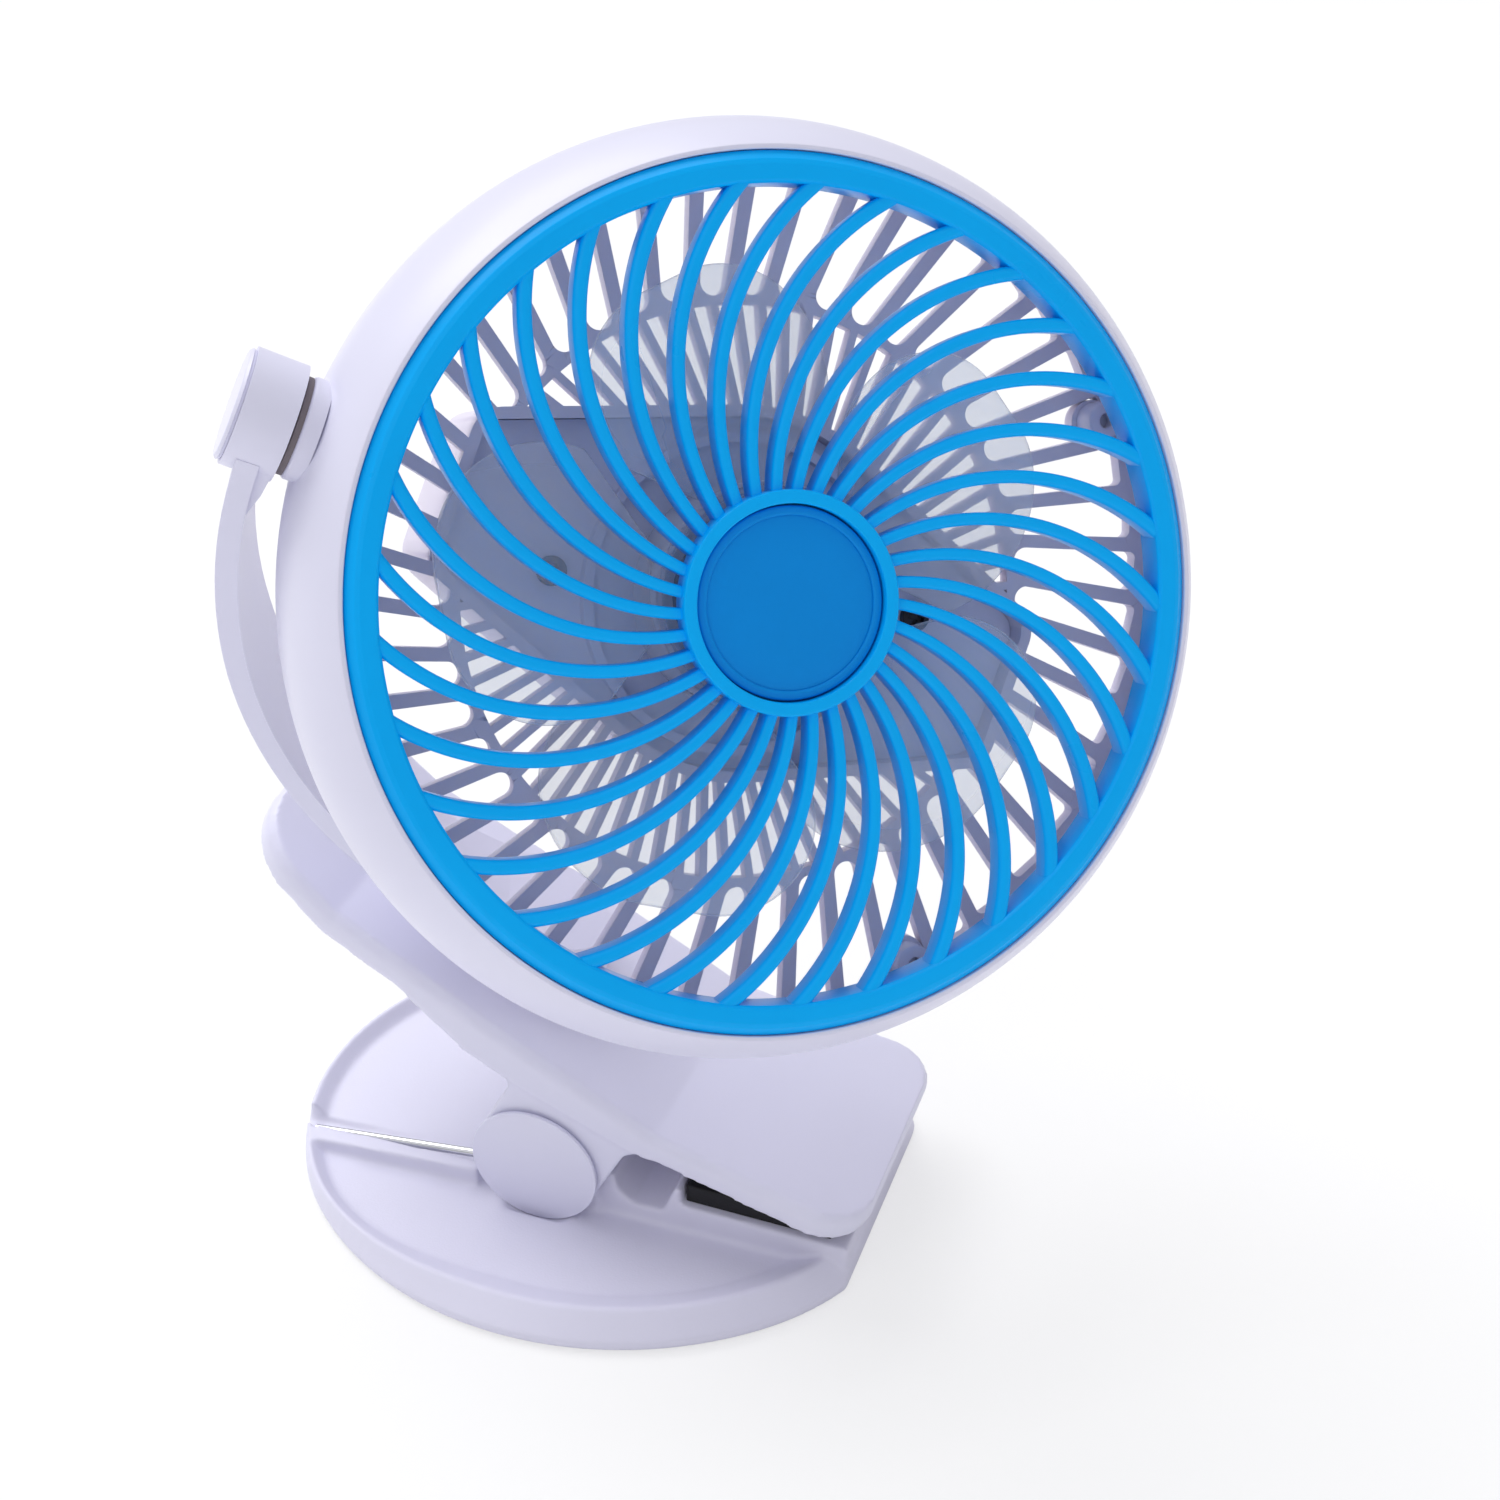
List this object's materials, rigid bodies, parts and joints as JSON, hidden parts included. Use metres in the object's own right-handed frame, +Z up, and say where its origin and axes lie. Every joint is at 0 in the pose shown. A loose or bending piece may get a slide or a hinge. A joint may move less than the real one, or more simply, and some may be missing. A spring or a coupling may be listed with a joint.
{
  "type": "portable camping fan",
  "caption": "Battery fan head with a curved-spoke grille on a one-sided swivel arm, over a sprung jaw clip whose broad oval lower jaw is a table foot.",
  "frame": {"origin": "centre of the oval foot's flat underside, on the table", "axes": "+Z up from the table, +X towards the tip of the clip's jaw, -Y the side that the fan faces at rest"},
  "size_m": [0.1667, 0.1276, 0.2094],
  "materials": {
    "white_shell": "satin",
    "blue_grille": "satin",
    "blue_badge": "satin",
    "clear_blades": "clear",
    "grey_plate": "matte",
    "grey_washer": "matte",
    "black_pad": "matte",
    "spring_steel": "bright",
    "screw_steel": "bright",
    "dark_screw": "black",
    "motor_metal": "satin",
    "cell_sleeve": "film",
    "board_green": "satin",
    "switch_black": "matte",
    "light_clear": "clear"
  },
  "bodies": {
    "foot_body": {"foot": "white_shell", "lower_pad": "black_pad", "torsion_spring": "spring_steel"},
    "lever_body": {"lever": "white_shell", "upper_pad": "black_pad", "hinge_caps": "white_shell", "hinge_pin": "screw_steel"},
    "arm_body": {"arm": "white_shell", "arm_cap": "white_shell", "swivel_screw": "screw_steel", "swivel_washer": "screw_steel"},
    "head_body": {"barrel_shell": "white_shell", "front_grille": "blue_grille", "hub_badge": "blue_badge", "rear_cover": "white_shell", "shell_screws": "screw_steel", "motor_plate": "grey_plate", "plate_screws": "dark_screw", "motor_can": "motor_metal", "battery_cell": "cell_sleeve", "battery_contacts": "spring_steel", "circuit_board": "board_green", "usb_socket": "screw_steel", "tact_switch": "switch_black", "charge_light": "light_clear", "pivot_screw": "screw_steel", "pivot_washer": "grey_washer"},
    "rotor_body": {"impeller": "clear_blades", "motor_shaft": "screw_steel", "rotor_clip": "screw_steel"},
    "button_body": {"power_button": "white_shell"}
  },
  "joints": [
    {"name": "jaw_hinge", "type": "hinge", "parent": "foot_body", "child": "lever_body", "pos_m": [-0.005, 0, 0.015], "axis": [0, -1, 0], "range_deg": [0, 34], "stiffness_Nm_per_rad": 0.5, "springref_deg": -68.75, "deforming": ["torsion_spring"]},
    {"name": "arm_swivel", "type": "hinge", "parent": "lever_body", "child": "arm_body", "pos_m": [0.0315, 0, 0.13397], "axis": [0.4772, 0, 0.8788], "continuous": true},
    {"name": "head_tilt", "type": "hinge", "parent": "arm_body", "child": "head_body", "pos_m": [0.0315, 0, 0.13397], "axis": [0.8028, 0.4067, -0.4359], "continuous": true},
    {"name": "impeller_spin", "type": "hinge", "parent": "head_body", "child": "rotor_body", "pos_m": [0.0315, 0, 0.13397], "axis": [0.5781, -0.71, 0.4022], "continuous": true},
    {"name": "power_press", "type": "slide", "parent": "head_body", "child": "button_body", "axis": [0.5781, -0.71, 0.4022], "range_m": [0, 0.0008], "stiffness_N_per_m": 1200, "springref_m": -0.0005}
  ]
}
